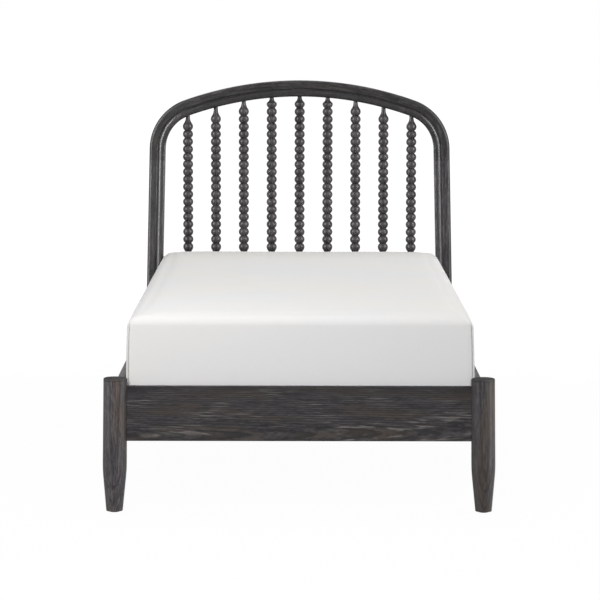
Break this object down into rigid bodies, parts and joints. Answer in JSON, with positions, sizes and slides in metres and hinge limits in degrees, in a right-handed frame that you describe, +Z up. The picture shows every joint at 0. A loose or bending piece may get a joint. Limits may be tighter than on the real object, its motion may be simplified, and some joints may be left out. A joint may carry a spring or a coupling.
{
  "type": "platform bed",
  "caption": "Single platform bed with an arched, moulded headboard of bobbin-turned spindles, plank rails, turned tapered front legs, a slatted deck and a lift-off mattress.",
  "frame": {"origin": "on the floor, below the middle of the bed's overall length and width", "axes": "+X to the right seen from the foot end, +Y from the foot to the headboard, +Z up"},
  "size_m": [1.1084, 2.0155, 1.162],
  "materials": {
    "charcoal_oak": "satin",
    "deck_pine": "matte",
    "beech": "matte",
    "zinc_steel": "satin",
    "screw_steel": "satin",
    "glide_plastic": "matte",
    "mattress_foam": "matte",
    "white_cotton": "matte"
  },
  "bodies": {
    "bed_frame": {"left_post": "charcoal_oak", "right_post": "charcoal_oak", "left_shoulder": "charcoal_oak", "right_shoulder": "charcoal_oak", "crown_rail": "charcoal_oak", "headboard_lower_rail": "charcoal_oak", "spindle_1": "charcoal_oak", "spindle_2": "charcoal_oak", "spindle_3": "charcoal_oak", "spindle_4": "charcoal_oak", "spindle_5": "charcoal_oak", "spindle_6": "charcoal_oak", "spindle_7": "charcoal_oak", "spindle_8": "charcoal_oak", "spindle_9": "charcoal_oak", "foot_rail": "charcoal_oak", "left_foot_leg": "charcoal_oak", "right_foot_leg": "charcoal_oak", "left_side_rail": "charcoal_oak", "right_side_rail": "charcoal_oak", "left_ledger": "deck_pine", "right_ledger": "deck_pine", "slat_01": "deck_pine", "slat_02": "deck_pine", "slat_03": "deck_pine", "slat_04": "deck_pine", "slat_05": "deck_pine", "slat_06": "deck_pine", "slat_07": "deck_pine", "slat_08": "deck_pine", "slat_09": "deck_pine", "slat_10": "deck_pine", "slat_11": "deck_pine", "slat_12": "deck_pine", "slat_13": "deck_pine", "slat_14": "deck_pine", "arch_dowels": "beech", "foot_rail_dowels": "beech", "rail_hook_plates": "zinc_steel", "hook_plate_pins": "zinc_steel", "post_slot_plates": "zinc_steel", "slot_plate_screws": "screw_steel", "ledger_screws": "screw_steel", "slat_screws": "screw_steel", "floor_glides": "glide_plastic"},
    "bedding": {"mattress": "mattress_foam", "fitted_sheet": "white_cotton"}
  },
  "joints": [
    {"name": "mattress_lift", "type": "slide", "parent": "bed_frame", "child": "bedding", "axis": [0, 0, 1], "range_m": [0, 0.9]}
  ]
}
